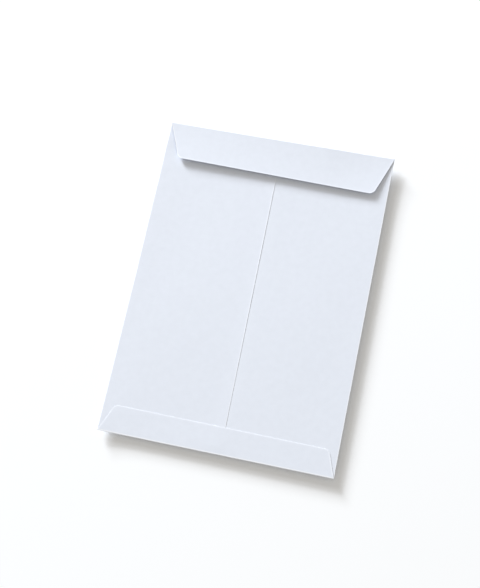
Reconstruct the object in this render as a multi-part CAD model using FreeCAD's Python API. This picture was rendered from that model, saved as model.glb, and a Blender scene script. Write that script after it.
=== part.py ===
# Pocket envelope of C4 size, folded from one sheet of paper and lying with its back up.
# Millimetres; the origin is the middle of the underside, +Y runs to the top flap, +Z is up.
import FreeCAD
import Part
import math
import os
from FreeCAD import Vector

# Outer size and paper
WIDTH = 229.0
HEIGHT = 324.0
PAPER = 0.15

# Front panel: a level middle that lies on the table, and margins that rise to the rim
RIM_RISE = 4.4
MARGIN = 60.0

# Back panels: the left one lies over the right one along a seam that leans a little
SIDE_FOLD_RADIUS = 0.4
SEAM_X = 4.1
SEAM_LEAN = 0.79
SEAM_OVERLAP = 12.0
SEAM_RAMP = 10.0
THROAT_INSET = 3.0
PANEL_END_CLEARANCE = 0.3

# Bottom flap, glued down over both back panels
BOTTOM_FLAP_DEPTH = 27.0
BOTTOM_FLAP_SKEW = 0.26
BOTTOM_FLAP_SLANT = 20.4
BOTTOM_FLAP_CORNER = 6.0

# Top flap, folded over and left open: it springs clear of the back panels. Its fold is
# not pressed flat, so it has a low upright wall between two tight bends.
TOP_FLAP_DEPTH = 39.8
TOP_FLAP_SKEW = 0.88
TOP_FLAP_SLANT = 21.0
TOP_FLAP_CORNER = 7.0
TOP_FOLD_RADIUS = 0.5
TOP_FOLD_CLEARANCE = 1.6
TOP_FLAP_LIFT = 3.2

# How far the ends of a fold's section reach into the panels beside it
FOLD_LEG = 2.0

# Measures that follow from the ones above
HALF_WIDTH = WIDTH / 2
HALF_HEIGHT = HEIGHT / 2
MARGIN_ANGLE = math.atan(RIM_RISE / MARGIN)
FOLD_SPAN = 1 + math.cos(MARGIN_ANGLE)
BACK_TOP = RIM_RISE + SIDE_FOLD_RADIUS * FOLD_SPAN
BOTTOM_FOLD_RADIUS = SIDE_FOLD_RADIUS + PAPER / FOLD_SPAN
TOP_FLAP_UNDER = BACK_TOP + PAPER + TOP_FOLD_CLEARANCE
TOP_FOLD_WALL = TOP_FLAP_UNDER + PAPER - RIM_RISE - TOP_FOLD_RADIUS * FOLD_SPAN
SIDE_LINE = HALF_WIDTH - SIDE_FOLD_RADIUS
BOTTOM_LINE = -HALF_HEIGHT + BOTTOM_FOLD_RADIUS
TOP_LINE = HALF_HEIGHT - TOP_FOLD_RADIUS
THROAT = HALF_HEIGHT - THROAT_INSET
PANEL_END = BOTTOM_LINE + PANEL_END_CLEARANCE
UP = Vector(0, 0, 1)
TALL = WIDTH


def face_of(points):
    """Flat face with straight sides through the given points."""
    return Part.Face(Part.makePolygon(points + points[:1]))


def plate(outline, low, thick):
    """Level plate over an outline of (x, y) pairs."""
    return face_of([Vector(x, y, low) for x, y in outline]).extrude(UP * thick)


def rectangle(x0, x1, y0, y1):
    return [(x0, y0), (x1, y0), (x1, y1), (x0, y1)]


def dish(base):
    """Space above the underside of the front panel, with its level middle at height base."""
    tangent_shift = math.sin(MARGIN_ANGLE)
    flat_x = SIDE_LINE + SIDE_FOLD_RADIUS * tangent_shift - MARGIN
    flat_top = TOP_LINE + TOP_FOLD_RADIUS * tangent_shift - MARGIN
    flat_bottom = BOTTOM_LINE - BOTTOM_FOLD_RADIUS * tangent_shift + MARGIN
    reach = TALL / math.tan(MARGIN_ANGLE)

    def ring(grow, z):
        corners = rectangle(-flat_x - grow, flat_x + grow, flat_bottom - grow, flat_top + grow)
        return [Vector(x, y, z) for x, y in corners]

    low = ring(0, base)
    high = ring(reach, base + TALL)
    faces = [face_of(low), face_of(high)]
    for i in range(4):
        j = (i + 1) % 4
        faces.append(face_of([low[i], low[j], high[j], high[i]]))
    return Part.makeSolid(Part.makeShell(faces))


def front_panel():
    """Shallow tray, one paper thick, that reaches the folds on all four sides."""
    tray = dish(0).cut(dish(PAPER / math.cos(MARGIN_ANGLE)))
    body = plate(rectangle(-SIDE_LINE, SIDE_LINE, BOTTOM_LINE, THROAT), 0, TALL)
    head = plate(rectangle(-HALF_WIDTH, HALF_WIDTH, THROAT, TOP_LINE), 0, TALL)
    return tray.common(body.fuse(head))


def fold_section(half_size, radius, wall, end_heading, run):
    """Cross-section of a fold, drawn with X outward and Y up.

    It starts with a short leg in the rising margin, bends up to the rim, climbs an
    upright wall if there is one, bends over to end_heading, an angle from X, and leaves
    with a straight run.
    """
    upright = math.pi / 2
    centre = Vector(half_size - radius, RIM_RISE + radius * math.cos(MARGIN_ANGLE), 0)
    upper_centre = centre + Vector(0, wall, 0)
    leg_step = Vector(math.cos(MARGIN_ANGLE), math.sin(MARGIN_ANGLE), 0) * FOLD_LEG
    run_step = Vector(math.cos(end_heading), math.sin(end_heading), 0) * run

    def bend(middle, rho, first, last):
        headings = (first, (first + last) / 2, last)
        return [middle + Vector(math.sin(a), -math.cos(a), 0) * rho for a in headings]

    def skin(rho):
        lower = bend(centre, rho, MARGIN_ANGLE, upright)
        upper = bend(upper_centre, rho, upright, end_heading)
        edges = [Part.makeLine(lower[0] - leg_step, lower[0]), Part.Arc(*lower).toShape()]
        if wall > 0:
            edges.append(Part.makeLine(lower[2], upper[0]))
        edges.append(Part.Arc(*upper).toShape())
        edges.append(Part.makeLine(upper[2], upper[2] + run_step))
        return edges, lower[0] - leg_step, upper[2] + run_step

    outer, outer_tail, outer_head = skin(radius)
    inner, inner_tail, inner_head = skin(radius - PAPER)
    head = [Part.makeLine(outer_head, inner_head)]
    tail = [Part.makeLine(inner_tail, outer_tail)]
    return Part.Face(Part.Wire(outer + head + inner[::-1] + tail))


def along_rim(section, turn, start, length):
    """Stand a section up, run it along the rim, then turn it about the middle."""
    section.rotate(Vector(), Vector(1, 0, 0), 90)
    section.translate(Vector(0, start, 0))
    shape = section.extrude(Vector(0, length, 0))
    shape.rotate(Vector(), UP, turn)
    return shape


def side_fold(side):
    """Fold along one side, from the throat to a corner mitred for the bottom fold."""
    section = fold_section(HALF_WIDTH, SIDE_FOLD_RADIUS, 0, math.pi, FOLD_LEG)
    length = THROAT + HALF_HEIGHT
    if side > 0:
        shape = along_rim(section, 0, -HALF_HEIGHT, length)
    else:
        shape = along_rim(section, 180, -THROAT, length)
    corner_x = side * HALF_WIDTH
    reach = 2 * (FOLD_LEG + SIDE_FOLD_RADIUS)
    beyond_mitre = [
        (corner_x + side * reach, -HALF_HEIGHT - reach),
        (corner_x - side * reach, -HALF_HEIGHT - reach),
        (corner_x - side * reach, -HALF_HEIGHT + reach),
    ]
    return shape.cut(plate(beyond_mitre, 0, TALL))


def seam_at(y):
    return SEAM_X - y * math.tan(math.radians(SEAM_LEAN))


def right_panel():
    """Lower back panel, which runs on under the left one by the overlap."""
    outline = [
        (seam_at(PANEL_END) - SEAM_OVERLAP, PANEL_END),
        (SIDE_LINE, PANEL_END),
        (SIDE_LINE, THROAT),
        (seam_at(THROAT) - SEAM_OVERLAP, THROAT),
    ]
    return plate(outline, BACK_TOP - PAPER, PAPER)


def left_panel():
    """Upper back panel, which climbs a gentle ramp onto the right one."""
    seam = seam_at(PANEL_END)
    steps = [
        (seam - WIDTH, 0),
        (seam - SEAM_OVERLAP - SEAM_RAMP, 0),
        (seam - SEAM_OVERLAP, PAPER),
        (seam, PAPER),
    ]
    top = [Vector(x, PANEL_END, BACK_TOP + rise) for x, rise in steps]
    under = [point - UP * PAPER for point in reversed(top)]
    sheet = face_of(top + under).extrude(Vector(seam_at(THROAT) - seam, THROAT - PANEL_END, 0))
    return sheet.common(plate(rectangle(-SIDE_LINE, HALF_WIDTH, PANEL_END, THROAT), 0, TALL))


def round_corner(before, corner, after, radius):
    """Three points of the arc that rounds a corner."""
    back = (before - corner).normalize()
    ahead = (after - corner).normalize()
    half = back.getAngle(ahead) / 2
    inward = (back + ahead).normalize()
    trim = radius / math.tan(half)
    middle = corner + inward * (radius / math.sin(half) - radius)
    return corner + back * trim, middle, corner + ahead * trim


def flap_outline(direction, fold_radius, mitre, depth, skew, slant, corner_radius):
    """Outline of a flap with slanted sides, a skewed free edge and two round corners.

    direction is +1 for a flap that points to +Y and -1 for one that points to -Y. The
    outline takes in the fold, whose ends are cut at 45 degrees over the mitre's width.
    depth is measured from the rim at mid width.
    """
    rim = -direction * HALF_HEIGHT
    fold_line = rim + direction * fold_radius
    knee_x = HALF_WIDTH - mitre
    lean = math.tan(math.radians(slant))
    tilt = math.tan(math.radians(skew))

    def free_corner(side):
        straight = knee_x - lean * (depth - fold_radius)
        x = side * straight / (1 - side * direction * lean * tilt)
        return Vector(x, rim + direction * depth - x * tilt, 0)

    ends = [Vector(-HALF_WIDTH, rim, 0), Vector(HALF_WIDTH, rim, 0)]
    knees = [Vector(-knee_x, fold_line, 0), Vector(knee_x, fold_line, 0)]
    free = [free_corner(-1), free_corner(1)]
    left = round_corner(knees[0], free[0], free[1], corner_radius)
    right = round_corner(free[0], free[1], knees[1], corner_radius)
    edges = [
        Part.makeLine(ends[0], knees[0]),
        Part.makeLine(knees[0], left[0]),
        Part.Arc(*left).toShape(),
        Part.makeLine(left[2], right[0]),
        Part.Arc(*right).toShape(),
        Part.makeLine(right[2], knees[1]),
        Part.makeLine(knees[1], ends[1]),
        Part.makeLine(ends[1], ends[0]),
    ]
    return Part.Face(Part.Wire(edges))


def bottom_flap():
    """Bottom fold and its flap, level on the back panels."""
    section = fold_section(HALF_HEIGHT, BOTTOM_FOLD_RADIUS, 0, math.pi, 2 * BOTTOM_FLAP_DEPTH)
    sheet = along_rim(section, -90, -HALF_WIDTH, WIDTH)
    outline = flap_outline(
        1,
        BOTTOM_FOLD_RADIUS,
        BOTTOM_FOLD_RADIUS,
        BOTTOM_FLAP_DEPTH,
        BOTTOM_FLAP_SKEW,
        BOTTOM_FLAP_SLANT,
        BOTTOM_FLAP_CORNER,
    )
    return sheet.common(outline.extrude(UP * TALL))


def top_flap():
    """Top fold and its flap, which rises steadily to the free edge."""
    climb = BACK_TOP + TOP_FLAP_LIFT - TOP_FLAP_UNDER
    angle = math.atan(climb / (TOP_FLAP_DEPTH - TOP_FOLD_RADIUS))
    section = fold_section(HALF_HEIGHT, TOP_FOLD_RADIUS, TOP_FOLD_WALL, math.pi - angle, 2 * TOP_FLAP_DEPTH)
    sheet = along_rim(section, 90, -HALF_WIDTH, WIDTH)
    outline = flap_outline(
        -1,
        TOP_FOLD_RADIUS,
        0,
        TOP_FLAP_DEPTH,
        TOP_FLAP_SKEW,
        TOP_FLAP_SLANT,
        TOP_FLAP_CORNER,
    )
    return sheet.common(outline.extrude(UP * TALL))


def envelope():
    """The whole folded sheet as one solid, the glued laps joined."""
    pieces = [side_fold(-1), side_fold(1), right_panel(), left_panel(), bottom_flap(), top_flap()]
    return front_panel().fuse(pieces).removeSplitter()


os.makedirs("parts", exist_ok=True)
shape = envelope()
shape.exportStep("parts/envelope.step")
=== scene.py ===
import math

import bmesh
import bpy
import numpy as np
from mathutils import Matrix, Vector


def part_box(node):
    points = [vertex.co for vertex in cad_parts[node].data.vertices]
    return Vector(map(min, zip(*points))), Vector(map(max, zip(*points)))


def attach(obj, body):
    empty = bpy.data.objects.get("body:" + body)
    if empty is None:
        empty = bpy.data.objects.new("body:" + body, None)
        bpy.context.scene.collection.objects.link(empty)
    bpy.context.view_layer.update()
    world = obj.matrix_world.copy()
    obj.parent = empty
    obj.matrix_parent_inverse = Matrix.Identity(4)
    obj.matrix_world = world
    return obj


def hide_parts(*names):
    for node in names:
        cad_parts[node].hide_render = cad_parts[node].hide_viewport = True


# The sheet is modelled in millimetres and turned into metres when its mesh is made. A run is the
# distance over which a relief, a droop or a painted highlight grows to its full amount.
MM = 0.001

# Paper and folds
PAPER = 0.15
SIDE_FOLD_RADIUS = 0.2
RIM_RISE = 4.2
THROAT_INSET = 3.0

# The belly lies on the table. The rim leans up to the right and sinks at the bottom edge, a little
# less at its ends. The top right and bottom left corners curl up.
BELLY_MARGIN = 75.0
RIM_LEAN = 0.3
BOTTOM_SINK = 0.6
SINK_LOSS_AT_ENDS = 0.3
TOP_RIGHT_RISE = 1.4
BOTTOM_LEFT_RISE = 1.2
CORNER_POWER = 8

# Small departures of the outline from a true rectangle. Both sides stand out, the left one more
# towards the top. The top edge is skewed and bowed, and the bottom edge is skewed and a little low.
LEFT_BULGE = 0.6
TOP_LEFT_SPREAD = 0.9
RIGHT_BULGE = 0.2
TOP_SKEW = 0.3
TOP_BOW = 0.5
BOTTOM_SKEW = 0.25
BOTTOM_SHIFT = 0.1
SIDE_SHIFT_POWER = 16
END_SHIFT_POWER = 8

# Back panels and seam: the left one lies over the right one. Its cut edge curls up by this many
# times EDGE_CURL, and less below the middle.
SEAM_X = 3.35
SEAM_LEAN = math.radians(0.79)
SEAM_OVERLAP = 12.0
SEAM_SINK_WIDTH = 3.0
SEAM_CURL = 1.4
SEAM_CURL_LOSS = 0.8
SEAM_CURL_RUN = 120.0

# Bottom flap. It climbs over the seam, and its right side curls up.
BOTTOM_FLAP_DEPTH = 26.5
BOTTOM_FLAP_SKEW = math.radians(0.36)
BOTTOM_FLAP_SLANTS = (math.radians(21.6), math.radians(19.3))
BOTTOM_FLAP_CORNER = 6.0
OVER_SEAM_OFFSET = 2.0
OVER_SEAM_WIDTH = 17.0
OVER_SEAM_RUN = 8.0
RIGHT_EDGE_CURL = 1.8
EDGE_BEND_RUN = 3.0

# Top flap and its fold, which has a low upright wall and droops towards the right corner
TOP_FLAP_DEPTH = 39.2
TOP_FLAP_SKEW = math.radians(0.93)
TOP_FLAP_SLANTS = (math.radians(20.5), math.radians(20.0))
TOP_FLAP_CORNER = 7.0
TOP_FOLD_RADIUS = 0.4
TOP_FOLD_INSET = 0.4
TOP_FOLD_CLEARANCE = 2.5
TOP_FOLD_DROOP = 2.25
TOP_FOLD_DROOP_FROM = 0.4
TOP_FOLD_DROOP_POWER = 1.3

# The top flap's free edge stands higher at the left, apart from a slight droop of its corner. Where
# the fold droops, the flap rises later.
TOP_FLAP_LIFT = 2.7
TOP_FLAP_LIFT_TILT = 0.45
TOP_FLAP_LATE_RISE = 0.5
LEFT_CORNER_DROOP = 0.1
LEFT_CORNER_FROM = -75.0
LEFT_CORNER_RUN = 30.0
FLAP_EDGE_RUN = 4.0

# The top flap sags between its fold and free edge, less at the right end, and along its left side
TOP_FLAP_SAG = 0.15
SAG_RUN = 60.0
LEFT_EDGE_DROOP = 0.15
LEFT_EDGE_DROOP_WIDTH = 6.0
LEFT_EDGE_DROOP_SHARE = 0.25

# Line that the top flap's left side has pressed into the left panel, and a shallow dent beside it
GROOVE_DEPTH = 0.32
GROOVE_WIDTH = 0.9
GROOVE_END = 127.0
GROOVE_RUN = 4.0
DENT_X = -101.0
DENT_Y = 135.0
DENT_DEPTH = 0.30
DENT_WIDTH = 10.0

# Relief of the sheet: cut edges curl up, the bottom flap's edge is pressed down, panels undulate.
# Each wave has its share of the height, its lengths in x and y, and its phase.
EDGE_CURL = 0.08
EDGE_CURL_WIDTH = 0.6
PRESSED_EDGE_DIP = 0.05
UNDULATION = 0.06
UNDULATION_MARGIN = 30.0
WAVES = ((1.0, 31.0, 74.0, 0.6), (0.8, -90.0, 38.0, 2.1), (0.5, 19.0, -47.0, 4.0))

# Painted highlights: lighter lines along cut edges and folds, painted where light catches them. For
# each, how far it is on the way to the highlight colour, and how far it reaches in
SEAM_HIGHLIGHT = 0.6
BOTTOM_FLAP_HIGHLIGHT = 0.5
TOP_FLAP_HIGHLIGHT = 0.4
HIGHLIGHT_WIDTH = 0.45
RIGHT_EDGE_HIGHLIGHT = 0.3
RIGHT_EDGE_HIGHLIGHT_WIDTH = 1.0
LEFT_EDGE_HIGHLIGHT = 0.8
LEFT_EDGE_HIGHLIGHT_WIDTH = 0.8
FOLD_HIGHLIGHT = 0.85
SIDE_FOLD_HIGHLIGHT = 0.595
FOLD_HIGHLIGHT_WIDTH = 0.8
HIGHLIGHT_RUN = 2.0

# Mesh spacing
STEP = 3.0
FINE_STEP = 0.8
GROOVE_STEP = 0.4
GROOVE_COLUMNS_TO = -100.0
THROAT_ROWS = 4
EDGE_LINES = (0.3, 0.6, 1.0, 1.8)
EDGE_LINE_GAP = 0.5
BEND_STEPS = 6
CORNER_STEPS = 12
HALF_CORNER = CORNER_STEPS // 2
MERGE_DISTANCE = 0.01
SHARP_ANGLE = math.radians(40.0)

# Photograph's camera, found from the outline's four corners
FOCAL_LENGTH = 68.04
SENSOR_WIDTH = 36.0
CAMERA_PLACE = (132.505, -279.976, 1043.867)
CAMERA_RIGHT = (0.974807, 0.209490, -0.076584)
CAMERA_DOWN = (0.181409, -0.944396, -0.274240)
CAMERA_AHEAD = (-0.129776, 0.253438, -0.958607)

# Light: two soft, low lamps at the upper left, one above the other, and an even room light that is
# a little warmer. Each lamp has its elevation and height in degrees, and its share of their light.
BANK_FROM = (-0.65, 0.76)
BANK_DISTANCE = 10.0
BANK_WIDTH = math.radians(14.0)
BANK_LAMPS = ((12.8, 9.5, 0.72), (20.5, 13.0, 0.28))
BANK_LEVEL = 0.52
BANK_COLOUR = (0.963, 1.0, 1.055)
ROOM_LEVEL = 0.48
ROOM_COLOUR = (1.04, 1.0, 0.94)

# Paper's surface. Each noise has its scale per metre, detail and roughness.
PAPER_COLOUR = (0.785, 0.826, 0.906)
HIGHLIGHT_COLOUR = (0.93, 0.95, 0.98)
PAPER_SPECULAR = 0.25
CLOUDS = (160.0, 3.0, 0.5)
CLOUD_TONE = (0.988, 1.012)
FIBRES = (1400.0, 6.0, 0.7)
FIBRE_ROUGHNESS = (0.80, 0.92)
NOISE_MIDDLE = (0.3, 0.7)
BUMP_STRENGTH = 0.25
BUMP_DISTANCE = 0.00001

# Floor, in metres. Its glow is seen by the camera alone, and grows far out, where light fades.
FLOOR_HALF = 4.0
FLOOR_HEIGHT = -0.00003
FLOOR_COLOUR = (0.97, 0.985, 1.0)
FLOOR_GLOW = 0.03
FAR_FLOOR_GLOW = 0.6
FAR_FLOOR_FROM = 0.5
FAR_FLOOR_TO = 3.0
WHITE = (1.0, 1.0, 1.0, 1.0)

# The mix node's colour sockets share their names with others, so they are taken by number.
MIX_FACTOR = 0
MIX_FIRST = 6
MIX_SECOND = 7
MIX_RESULT = 2

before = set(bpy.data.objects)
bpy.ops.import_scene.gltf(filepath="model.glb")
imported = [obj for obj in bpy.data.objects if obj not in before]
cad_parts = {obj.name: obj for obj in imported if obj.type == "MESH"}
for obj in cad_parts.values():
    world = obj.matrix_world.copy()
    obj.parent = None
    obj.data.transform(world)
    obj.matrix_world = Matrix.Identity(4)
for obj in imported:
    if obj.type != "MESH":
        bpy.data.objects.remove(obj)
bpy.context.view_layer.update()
low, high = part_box("envelope")
HALF_WIDTH = (high[0] - low[0]) / 2 / MM
HALF_HEIGHT = (high[1] - low[1]) / 2 / MM

# Lines where panels meet folds, and heights of the middle of the paper
BOTTOM_FOLD_RADIUS = SIDE_FOLD_RADIUS + PAPER / 2
SIDE_LINE = HALF_WIDTH - SIDE_FOLD_RADIUS
BOTTOM_LINE = -HALF_HEIGHT + BOTTOM_FOLD_RADIUS
TOP_LINE = HALF_HEIGHT - TOP_FOLD_RADIUS - TOP_FOLD_INSET
THROAT = HALF_HEIGHT - THROAT_INSET
RIM_MID = RIM_RISE + PAPER / 2
BACK_MID = RIM_MID + 2 * SIDE_FOLD_RADIUS - PAPER
FLAP_REST = BACK_MID + PAPER


def smooth(t):
    t = np.clip(t, 0.0, 1.0)
    return t * t * (3 - 2 * t)


def swell(t):
    """0 at the rim, 1 from a full margin inward, with a straight start and a level end."""
    return np.sin(np.clip(t, 0.0, 1.0) * math.pi / 2)


def seam_at(y):
    return SEAM_X - y * math.tan(SEAM_LEAN)


def lean(x, y):
    """How much higher or lower the rim, or what lies on it, stands here."""
    across = x / HALF_WIDTH
    along = y / HALF_HEIGHT
    corner_rise = np.where(across > 0, TOP_RIGHT_RISE, BOTTOM_LEFT_RISE)
    corner = corner_rise * np.maximum(across * along, 0.0) ** CORNER_POWER
    sink = BOTTOM_SINK * (1 - SINK_LOSS_AT_ENDS * across * across) * np.maximum(-along, 0.0) ** 2
    return RIM_LEAN * across - sink + corner


def plan_shift(x, y):
    """Shift of the sheet in plan, which fades inward and makes its outline slightly uneven."""
    across = x / HALF_WIDTH
    along = y / HALF_HEIGHT
    left = LEFT_BULGE + TOP_LEFT_SPREAD * np.maximum(along, 0.0)
    sideways = np.where(across > 0, RIGHT_BULGE, -left) * across**SIDE_SHIFT_POWER
    top = TOP_SKEW * across + TOP_BOW * across * across
    bottom = -BOTTOM_SHIFT - BOTTOM_SKEW * across
    lengthways = np.where(along > 0, top, bottom) * along**END_SHIFT_POWER
    return np.stack([sideways, lengthways], -1)


def belly(x, y):
    """Height of the front panel: on the table in the middle, rising to the rim."""
    across = swell((SIDE_LINE - np.abs(x)) / BELLY_MARGIN)
    along = swell((TOP_LINE - y) / BELLY_MARGIN) * swell((y - BOTTOM_LINE) / BELLY_MARGIN)
    rim = RIM_MID + lean(x, y)
    return rim + (PAPER / 2 - rim) * across * along


def undulation(x, y):
    """Slow, shallow waves of the back panels, none at the rim."""
    waves = sum(share * np.sin(x / p + y / q + phase) for share, p, q, phase in WAVES)
    at_sides = smooth((SIDE_LINE - np.abs(x)) / UNDULATION_MARGIN)
    at_bottom = smooth((y - BOTTOM_LINE) / UNDULATION_MARGIN)
    at_top = smooth((HALF_HEIGHT - y) / UNDULATION_MARGIN)
    return UNDULATION * waves * at_sides * (at_bottom * at_top)


def curl(distance):
    """Rise of the paper at this distance from a cut edge."""
    return EDGE_CURL * np.exp(-distance / EDGE_CURL_WIDTH)


def left_relief(x, y):
    """The left panel climbs half a thickness to the seam, where its cut edge curls up."""
    before = np.maximum(seam_at(y) - x, 0.0)
    times = SEAM_CURL - SEAM_CURL_LOSS * smooth(-y / SEAM_CURL_RUN)
    return PAPER / 2 * (1 - smooth(before / SEAM_OVERLAP)) + curl(before) * times


def right_relief(x, y):
    """The right panel sinks half a thickness beside the seam and runs on under the left one."""
    past = x - seam_at(y)
    beside = -PAPER / 2 * np.exp(-past / SEAM_SINK_WIDTH)
    under = PAPER / 2 * (1 - smooth(-past / SEAM_OVERLAP)) - PAPER
    return np.where(past > 0, beside, under)


def groove(x, y):
    """Line that the top flap's left side has pressed into the left panel."""
    slant = TOP_FLAP_SLANTS[0]
    outside = (-HALF_WIDTH + (HALF_HEIGHT - y) * math.tan(slant) - x) * math.cos(slant)
    depth = GROOVE_DEPTH * np.exp(-((outside / GROOVE_WIDTH) ** 2))
    return -depth * smooth((y - GROOVE_END) / GROOVE_RUN)


def dent(x, y):
    """Shallow hollow of the left panel under the top flap's left side."""
    distance = np.hypot(x - DENT_X, y - DENT_Y)
    return -DENT_DEPTH * np.exp(-((distance / DENT_WIDTH) ** 2))


def spaced(a, b, step=STEP):
    count = max(2, int(round(abs(b - a) / step)) + 1)
    return np.linspace(a, b, count)


def with_edge_lines(values, at_start, at_end):
    """Adds lines close to a cut edge or a fold, where the paper curves most."""
    offsets = np.array(EDGE_LINES)
    clear = offsets[-1] + EDGE_LINE_GAP
    if at_start:
        beyond = values[values > values[0] + clear]
        values = np.concatenate([values[:1], values[0] + offsets, beyond])
    if at_end:
        before = values[values < values[-1] - clear]
        values = np.concatenate([before, values[-1] - offsets[::-1], values[-1:]])
    return values


class Sheet:
    """Collects grids of points into one mesh, with how much painted highlight the paper has at each
    point.
    """

    def __init__(self):
        self.points = []
        self.painted_highlight = []
        self.faces = []

    def grid(self, x, y, z, painted_highlight=0.0):
        shape = np.broadcast_shapes(np.shape(x), np.shape(y), np.shape(z))
        points = np.stack([np.broadcast_to(v, shape) for v in (x, y, z)], -1)
        rows, columns = shape
        base = len(self.points)
        self.points.extend(points.reshape(-1, 3).tolist())
        self.painted_highlight.extend(np.broadcast_to(painted_highlight, shape).reshape(-1).tolist())
        for i in range(rows - 1):
            for j in range(columns - 1):
                a = base + i * columns + j
                self.faces.append((a, a + 1, a + 1 + columns, a + columns))


def quarter_bends(radius):
    """Outward shift and rise of the paper's middle in a fold's lower and upper quarter."""
    r = radius - PAPER / 2
    bend = np.linspace(0.0, math.pi / 2, BEND_STEPS + 1)
    lower = np.stack([r * np.sin(bend), r * (1 - np.cos(bend))])
    upper = np.stack([r * np.cos(bend), r + r * np.sin(bend)])
    return lower, upper


def fold_path(radius):
    """Outward shift and rise of the paper's middle through a fold, from level to turned over."""
    lower, upper = quarter_bends(radius)
    return np.concatenate([lower, upper[:, 1:]], 1)


def body_rows():
    lower = with_edge_lines(spaced(BOTTOM_LINE, GROOVE_END), True, False)
    return np.concatenate([lower, spaced(GROOVE_END, THROAT, FINE_STEP)[1:]])


def unit_columns():
    """Columns shared by the front and both flaps, from -1 at the left to 1 at the right."""
    return with_edge_lines(spaced(-HALF_WIDTH, HALF_WIDTH), True, True) / HALF_WIDTH


def add_front(sheet):
    """Front panel. It widens over the throat, where no side fold holds it any more."""
    above = with_edge_lines(np.linspace(THROAT, TOP_LINE, THROAT_ROWS), False, True)[1:]
    y = np.concatenate([body_rows(), above])[:, None]
    half = SIDE_LINE + SIDE_FOLD_RADIUS * np.clip((y - THROAT) / (TOP_LINE - THROAT), 0, 1)
    x = unit_columns() * half
    sheet.grid(x, y, belly(x, y))


def add_side_fold(sheet, side):
    """Fold between the front and a back panel, mitred at the bottom. The right one carries a
    painted highlight along its crest.
    """
    shift, rise = fold_path(SIDE_FOLD_RADIUS)
    x = side * (SIDE_LINE + shift)
    y = np.repeat(body_rows()[:, None], len(shift), 1)
    y[0] = BOTTOM_LINE - shift
    painted_highlight = SIDE_FOLD_HIGHLIGHT * smooth(rise / rise[-1]) * (side > 0)
    sheet.grid(x, y, RIM_MID + lean(x, y) + rise, painted_highlight)


def left_columns():
    """Columns of the left panel, closer together where the flap has pressed its line."""
    beside_groove = spaced(-SIDE_LINE, GROOVE_COLUMNS_TO, GROOVE_STEP)
    plain = with_edge_lines(spaced(GROOVE_COLUMNS_TO, SEAM_X), False, True)
    return np.concatenate([beside_groove, plain[1:]])


def add_left_panel(sheet):
    y = body_rows()[:, None]
    share = (left_columns() + SIDE_LINE) / (SEAM_X + SIDE_LINE)
    x = -SIDE_LINE + (seam_at(y) + SIDE_LINE) * share
    level = BACK_MID + lean(x, y) + undulation(x, y)
    # painted highlight: a lighter line along the left panel's cut edge at the seam
    painted_highlight = SEAM_HIGHLIGHT * (seam_at(y) - x < HIGHLIGHT_WIDTH)
    sheet.grid(x, y, level + left_relief(x, y) + groove(x, y) + dent(x, y), painted_highlight)


def add_right_panel(sheet):
    y = body_rows()[:, None]
    seam = seam_at(y)
    hidden = seam + spaced(-SEAM_OVERLAP, 0.0)[:-1]
    columns = with_edge_lines(spaced(SEAM_X, SIDE_LINE), True, True)
    visible = seam + (SIDE_LINE - seam) * (columns - SEAM_X) / (SIDE_LINE - SEAM_X)
    x = np.concatenate([hidden, visible], 1)
    # painted highlight: a lighter strip along the right fold
    painted_highlight = SIDE_FOLD_HIGHLIGHT * (SIDE_LINE - x < FOLD_HIGHLIGHT_WIDTH)
    sheet.grid(x, y, BACK_MID + lean(x, y) + undulation(x, y) + right_relief(x, y), painted_highlight)


def flap_side(knee, corner, free_direction, radius):
    """One side of a flap: the end of its straight part, and its round corner."""
    back = (knee - corner) / np.linalg.norm(knee - corner)
    half = math.acos(float(back @ free_direction)) / 2
    trim = radius / math.tan(half)
    inward = (back + free_direction) / np.linalg.norm(back + free_direction)
    centre = corner + inward * radius / math.sin(half)
    start = corner + back * trim
    end = corner + free_direction * trim
    first = start - centre
    last = end - centre
    turn = math.atan2(first[0] * last[1] - first[1] * last[0], first @ last)
    angles = turn * np.linspace(0, 1, CORNER_STEPS + 1)[1:, None]
    across = np.array([-first[1], first[0]])
    return start, centre + np.cos(angles) * first + np.sin(angles) * across


def flap_sides(direction, fold_line, half_fold, depth, skew, slants, radius):
    """Left and right side of a flap as matching rows, from the fold to the free edge."""
    tan_skew = math.tan(skew)
    rim = -direction * HALF_HEIGHT
    straight_depth = depth - abs(rim - fold_line)
    rows = with_edge_lines(spaced(0.0, straight_depth - radius), True, False)
    share = (rows / rows[-1])[:, None]
    sides = []
    for sign, slant in zip((-1, 1), slants):
        tan_slant = math.tan(slant)
        narrowed = half_fold - tan_slant * straight_depth
        x = sign * narrowed / (1 - sign * direction * tan_slant * tan_skew)
        knee = np.array([sign * half_fold, fold_line])
        corner = np.array([x, rim + direction * depth - x * tan_skew])
        along = np.array([-sign, sign * tan_skew])
        start, bend = flap_side(knee, corner, along / np.linalg.norm(along), radius)
        sides.append(np.concatenate([knee + (start - knee) * share, bend]))
    return sides


def flap_plan(left, right):
    """Plan positions of a flap's grid between its two sides."""
    t = (unit_columns() + 1) / 2
    x = left[:, :1] + (right[:, :1] - left[:, :1]) * t
    y = left[:, 1:] + (right[:, 1:] - left[:, 1:]) * t
    return x, y


def distance_to_line(x, y, line):
    """Least distance of every point to a run of straight pieces."""
    best = np.full(x.shape, np.inf)
    for (ax, ay), (bx, by) in zip(line[:-1], line[1:]):
        dx, dy = bx - ax, by - ay
        t = np.clip(((x - ax) * dx + (y - ay) * dy) / (dx * dx + dy * dy), 0, 1)
        best = np.minimum(best, np.hypot(x - ax - t * dx, y - ay - t * dy))
    return best


def add_bottom_fold(sheet):
    shift, rise = fold_path(BOTTOM_FOLD_RADIUS)[:, :, None]
    x = unit_columns() * (SIDE_LINE + shift * SIDE_FOLD_RADIUS / BOTTOM_FOLD_RADIUS)
    y = BOTTOM_LINE - shift
    # painted highlight: a lighter line along the bottom fold's crest
    sheet.grid(x, y, RIM_MID + lean(x, y) + rise, FOLD_HIGHLIGHT * smooth(rise / rise[-1]))


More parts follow.
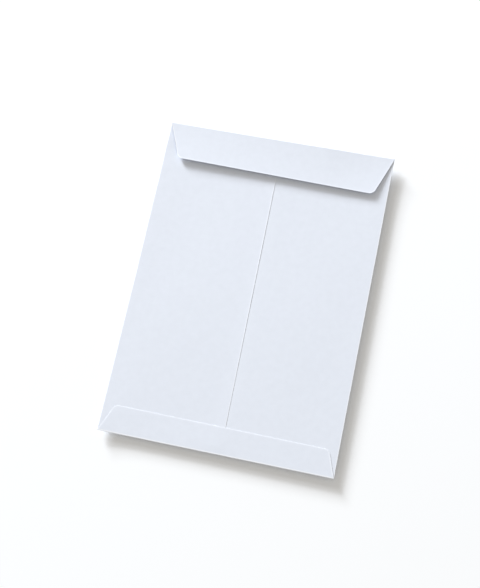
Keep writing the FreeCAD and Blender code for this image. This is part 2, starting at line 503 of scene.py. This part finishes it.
def add_bottom_flap(sheet):
    """Glued flap, level on the back panels."""
    slants, corner = BOTTOM_FLAP_SLANTS, BOTTOM_FLAP_CORNER
    left, right = flap_sides(
        1, BOTTOM_LINE, SIDE_LINE, BOTTOM_FLAP_DEPTH, BOTTOM_FLAP_SKEW, slants, corner
    )
    x, y = flap_plan(left, right)
    pressed_edge = distance_to_line(x, y, np.concatenate([left, right[:-HALF_CORNER - 1:-1]]))
    right_edge = distance_to_line(x, y, right[:-HALF_CORNER])
    past_fold = y - BOTTOM_LINE

    from_seam = x - seam_at(y) + OVER_SEAM_OFFSET
    over_seam = PAPER / 2 * np.exp(-((from_seam / OVER_SEAM_WIDTH) ** 2))
    dip = PRESSED_EDGE_DIP * np.exp(-pressed_edge / EDGE_CURL_WIDTH)
    edge_bend = RIGHT_EDGE_CURL * curl(right_edge) - dip
    z = FLAP_REST + lean(x, y) + undulation(x, y) + over_seam * smooth(past_fold / OVER_SEAM_RUN)
    z = z + edge_bend * smooth(past_fold / EDGE_BEND_RUN)

    # painted highlights: lighter lines along the bottom flap's edges and along its fold
    pressed_highlight = BOTTOM_FLAP_HIGHLIGHT * (pressed_edge < HIGHLIGHT_WIDTH)
    right_highlight = RIGHT_EDGE_HIGHLIGHT * (right_edge < RIGHT_EDGE_HIGHLIGHT_WIDTH)
    painted_highlight = np.maximum(pressed_highlight, right_highlight) * smooth(past_fold / HIGHLIGHT_RUN)
    sheet.grid(x, y, z, np.maximum(painted_highlight, FOLD_HIGHLIGHT * (past_fold < FOLD_HIGHLIGHT_WIDTH)))


def top_fold_clearance(x):
    """Gap between the back panels and the start of the top flap."""
    droop = np.maximum(x / HALF_WIDTH - TOP_FOLD_DROOP_FROM, 0.0) / (1 - TOP_FOLD_DROOP_FROM)
    return TOP_FOLD_CLEARANCE - TOP_FOLD_DROOP * droop**TOP_FOLD_DROOP_POWER


def add_top_fold(sheet):
    """Two quarter bends with an upright wall between them."""
    lower, upper = quarter_bends(TOP_FOLD_RADIUS)
    shift, rise = np.concatenate([lower, upper], 1)[:, :, None]
    above_wall = np.repeat([0.0, 1.0], BEND_STEPS + 1)[:, None]
    x = unit_columns() * HALF_WIDTH
    y = TOP_LINE + shift
    wall = FLAP_REST + top_fold_clearance(x) - RIM_MID - rise[-1]
    sheet.grid(x, y, RIM_MID + rise + above_wall * wall + lean(x, y))


def top_flap_height(x, y, left_edge):
    """Middle of the top flap, which springs up from its fold to its free edge."""
    reach = TOP_FLAP_DEPTH - TOP_FOLD_RADIUS + x * math.tan(TOP_FLAP_SKEW)
    share = np.maximum(TOP_LINE - y, 0.0) / reach
    gap = top_fold_clearance(x)
    power = 1 + TOP_FLAP_LATE_RISE * (TOP_FOLD_CLEARANCE - gap) / TOP_FOLD_CLEARANCE
    corner_droop = LEFT_CORNER_DROOP * smooth((LEFT_CORNER_FROM - x) / LEFT_CORNER_RUN)
    lift = TOP_FLAP_LIFT - TOP_FLAP_LIFT_TILT * x / HALF_WIDTH - corner_droop
    sag = TOP_FLAP_SAG * 4 * share * (1 - share) * smooth((HALF_WIDTH - x) / SAG_RUN)
    side_droop = LEFT_EDGE_DROOP * np.exp(-left_edge / LEFT_EDGE_DROOP_WIDTH)
    sag = sag + side_droop * smooth(share / LEFT_EDGE_DROOP_SHARE)
    return FLAP_REST + lean(x, y) + gap + (lift - gap) * share**power - sag


def add_top_flap(sheet):
    left, right = flap_sides(
        -1, TOP_LINE, HALF_WIDTH, TOP_FLAP_DEPTH, TOP_FLAP_SKEW, TOP_FLAP_SLANTS, TOP_FLAP_CORNER
    )
    x, y = flap_plan(left, right)
    curled_edge = distance_to_line(x, y, np.concatenate([left[-HALF_CORNER:], right[::-1]]))
    left_edge = distance_to_line(x, y, left[:-HALF_CORNER])
    # painted highlights: lighter lines along the top flap's free edge, right side and left side
    curled_highlight = TOP_FLAP_HIGHLIGHT * (curled_edge < HIGHLIGHT_WIDTH)
    left_highlight = LEFT_EDGE_HIGHLIGHT * (left_edge < LEFT_EDGE_HIGHLIGHT_WIDTH)
    fade = smooth((TOP_LINE - y) / FLAP_EDGE_RUN)
    z = top_flap_height(x, y, left_edge) + curl(curled_edge) * fade
    sheet.grid(x, y, z, np.maximum(curled_highlight, left_highlight) * fade)


def thicken(piece):
    """Gives the sheet its thickness and keeps its cut edges crisp."""
    thick = piece.modifiers.new("thickness", "SOLIDIFY")
    thick.thickness = PAPER * MM
    thick.offset = 0.0
    shaped = piece.evaluated_get(bpy.context.evaluated_depsgraph_get())
    solid = bpy.data.meshes.new_from_object(shaped)
    piece.modifiers.clear()
    piece.data = solid
    solid.polygons.foreach_set("use_smooth", [True] * len(solid.polygons))
    solid.set_sharp_from_angle(angle=SHARP_ANGLE)


def sheet_mesh():
    """All grids of the sheet, joined where they meet."""
    sheet = Sheet()
    add_front(sheet)
    add_side_fold(sheet, -1)
    add_side_fold(sheet, 1)
    add_right_panel(sheet)
    add_left_panel(sheet)
    add_bottom_fold(sheet)
    add_bottom_flap(sheet)
    add_top_fold(sheet)
    add_top_flap(sheet)
    points = np.array(sheet.points)
    points[:, :2] += plan_shift(points[:, 0], points[:, 1])
    mesh = bpy.data.meshes.new("envelope_paper")
    mesh.from_pydata((points * MM).tolist(), [], sheet.faces)
    # the attribute holds the painted highlight at each point
    painted_highlight = mesh.attributes.new("painted_highlight", "FLOAT", "POINT")
    painted_highlight.data.foreach_set("value", sheet.painted_highlight)
    work = bmesh.new()
    work.from_mesh(mesh)
    bmesh.ops.remove_doubles(work, verts=work.verts, dist=MERGE_DISTANCE * MM)
    bmesh.ops.recalc_face_normals(work, faces=work.faces)
    work.to_mesh(mesh)
    work.free()
    return mesh


def make_envelope(material):
    mesh = sheet_mesh()
    mesh.materials.append(material)
    piece = bpy.data.objects.new("envelope_paper", mesh)
    bpy.context.collection.objects.link(piece)
    thicken(piece)
    return piece


def link(tree, source, output, target, socket):
    tree.links.new(source.outputs[output], target.inputs[socket])


def noise(tree, where, scale, detail, roughness):
    node = tree.nodes.new("ShaderNodeTexNoise")
    node.inputs["Scale"].default_value = scale
    node.inputs["Detail"].default_value = detail
    node.inputs["Roughness"].default_value = roughness
    link(tree, where, "Object", node, "Vector")
    return node


def remap(tree, source, output, given, wanted):
    """Spreads a given range of a node's output over the wanted one."""
    node = tree.nodes.new("ShaderNodeMapRange")
    node.inputs["From Min"].default_value = given[0]
    node.inputs["From Max"].default_value = given[1]
    node.inputs["To Min"].default_value = wanted[0]
    node.inputs["To Max"].default_value = wanted[1]
    link(tree, source, output, node, "Value")
    return node


def paper_material():
    """Uncoated white paper: faint clouds, fine fibres and painted highlights along edges and folds.
    """
    material = bpy.data.materials.new("envelope_paper")
    material.use_nodes = True
    tree = material.node_tree
    shader = tree.nodes["Principled BSDF"]
    shader.inputs["Specular IOR Level"].default_value = PAPER_SPECULAR
    where = tree.nodes.new("ShaderNodeTexCoord")
    clouds = noise(tree, where, *CLOUDS)
    fibres = noise(tree, where, *FIBRES)

    tone = remap(tree, clouds, "Fac", NOISE_MIDDLE, CLOUD_TONE)
    base = tree.nodes.new("ShaderNodeVectorMath")
    base.operation = "SCALE"
    base.inputs[0].default_value = PAPER_COLOUR
    link(tree, tone, "Result", base, "Scale")

    # painted highlights: the colour is mixed toward a lighter one along edges and folds
    painted_highlight = tree.nodes.new("ShaderNodeAttribute")
    painted_highlight.attribute_name = "painted_highlight"
    mixed = tree.nodes.new("ShaderNodeMix")
    mixed.data_type = "RGBA"
    link(tree, painted_highlight, "Fac", mixed, MIX_FACTOR)
    link(tree, base, "Vector", mixed, MIX_FIRST)
    mixed.inputs[MIX_SECOND].default_value = (*HIGHLIGHT_COLOUR, 1.0)
    link(tree, mixed, MIX_RESULT, shader, "Base Color")

    roughness = remap(tree, fibres, "Fac", NOISE_MIDDLE, FIBRE_ROUGHNESS)
    link(tree, roughness, "Result", shader, "Roughness")

    bump = tree.nodes.new("ShaderNodeBump")
    bump.inputs["Strength"].default_value = BUMP_STRENGTH
    bump.inputs["Distance"].default_value = BUMP_DISTANCE
    link(tree, fibres, "Fac", bump, "Height")
    link(tree, bump, "Normal", shader, "Normal")
    return material


def floor_material():
    """Matt white, with a slight glow that only the camera sees."""
    material = bpy.data.materials.new("floor")
    material.use_nodes = True
    tree = material.node_tree
    shader = tree.nodes["Principled BSDF"]
    shader.inputs["Base Color"].default_value = (*FLOOR_COLOUR, 1.0)
    shader.inputs["Roughness"].default_value = 1.0
    shader.inputs["Specular IOR Level"].default_value = 0.0
    shader.inputs["Emission Color"].default_value = WHITE
    where = tree.nodes.new("ShaderNodeTexCoord")
    distance = tree.nodes.new("ShaderNodeVectorMath")
    distance.operation = "LENGTH"
    link(tree, where, "Object", distance, 0)
    far = (FAR_FLOOR_FROM, FAR_FLOOR_TO)
    level = remap(tree, distance, "Value", far, (FLOOR_GLOW, FAR_FLOOR_GLOW))
    path = tree.nodes.new("ShaderNodeLightPath")
    glow = tree.nodes.new("ShaderNodeMath")
    glow.operation = "MULTIPLY"
    link(tree, path, "Is Camera Ray", glow, 0)
    link(tree, level, "Result", glow, 1)
    link(tree, glow, "Value", shader, "Emission Strength")
    return material


def make_floor():
    mesh = bpy.data.meshes.new("floor")
    around = ((-1, -1), (1, -1), (1, 1), (-1, 1))
    corners = [(FLOOR_HALF * x, FLOOR_HALF * y, FLOOR_HEIGHT) for x, y in around]
    mesh.from_pydata(corners, [], [(0, 1, 2, 3)])
    mesh.materials.append(floor_material())
    floor = bpy.data.objects.new("floor", mesh)
    bpy.context.collection.objects.link(floor)


def make_room_light():
    """Even light from all sides. The camera itself sees plain white there."""
    world = bpy.data.worlds.new("room")
    bpy.context.scene.world = world
    world.use_nodes = True
    tree = world.node_tree
    room = tree.nodes["Background"]
    room.inputs["Color"].default_value = (*ROOM_COLOUR, 1.0)
    room.inputs["Strength"].default_value = ROOM_LEVEL
    backdrop = tree.nodes.new("ShaderNodeBackground")
    backdrop.inputs["Color"].default_value = WHITE
    path = tree.nodes.new("ShaderNodeLightPath")
    mix = tree.nodes.new("ShaderNodeMixShader")
    link(tree, path, "Is Camera Ray", mix, 0)
    link(tree, room, 0, mix, 1)
    link(tree, backdrop, 0, mix, 2)
    link(tree, mix, 0, tree.nodes["World Output"], "Surface")


def add_lamp(elevation, height, level):
    """Flat rectangular lamp that lights a level surface with the given level."""
    side = Vector((*BANK_FROM, 0)).normalized()
    toward = side * math.cos(elevation) + Vector((0, 0, math.sin(elevation)))
    data = bpy.data.lights.new("bank_lamp", "AREA")
    half = math.tan(BANK_WIDTH / 2)
    # The ends of a flat lamp are further away and seen at a slant, so they give less light.
    given = (math.atan(half) / half + 1 / (1 + half * half)) / 2
    data.shape = "RECTANGLE"
    data.size = 2 * BANK_DISTANCE * half
    data.size_y = 2 * BANK_DISTANCE * math.tan(height / 2)
    data.energy = (math.pi * BANK_DISTANCE) ** 2 * level / math.sin(elevation) / given
    data.color = BANK_COLOUR
    lamp = bpy.data.objects.new("bank_lamp", data)
    lamp.location = toward * BANK_DISTANCE
    lamp.rotation_euler = toward.to_track_quat("Z", "Y").to_euler()
    bpy.context.collection.objects.link(lamp)


def make_lamp_bank():
    for elevation, height, share in BANK_LAMPS:
        add_lamp(math.radians(elevation), math.radians(height), BANK_LEVEL * share)


def make_camera():
    """Camera of the photograph. Its place is measured from the middle of the rim."""
    data = bpy.data.cameras.new("camera")
    data.lens = FOCAL_LENGTH
    data.sensor_width = SENSOR_WIDTH
    camera = bpy.data.objects.new("camera", data)
    right = Vector(CAMERA_RIGHT)
    up = -Vector(CAMERA_DOWN)
    back = -Vector(CAMERA_AHEAD)
    turn = Matrix((right, up, back)).transposed().to_4x4()
    rim_middle = RIM_RISE + SIDE_FOLD_RADIUS
    place = Vector(CAMERA_PLACE) + Vector((0, 0, rim_middle))
    camera.matrix_world = Matrix.Translation(place * MM) @ turn
    bpy.context.collection.objects.link(camera)
    bpy.context.scene.camera = camera


bpy.context.scene.view_settings.view_transform = "Standard"
envelope = make_envelope(paper_material())
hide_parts("envelope")
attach(envelope, "root")
make_floor()
make_room_light()
make_lamp_bank()
make_camera()
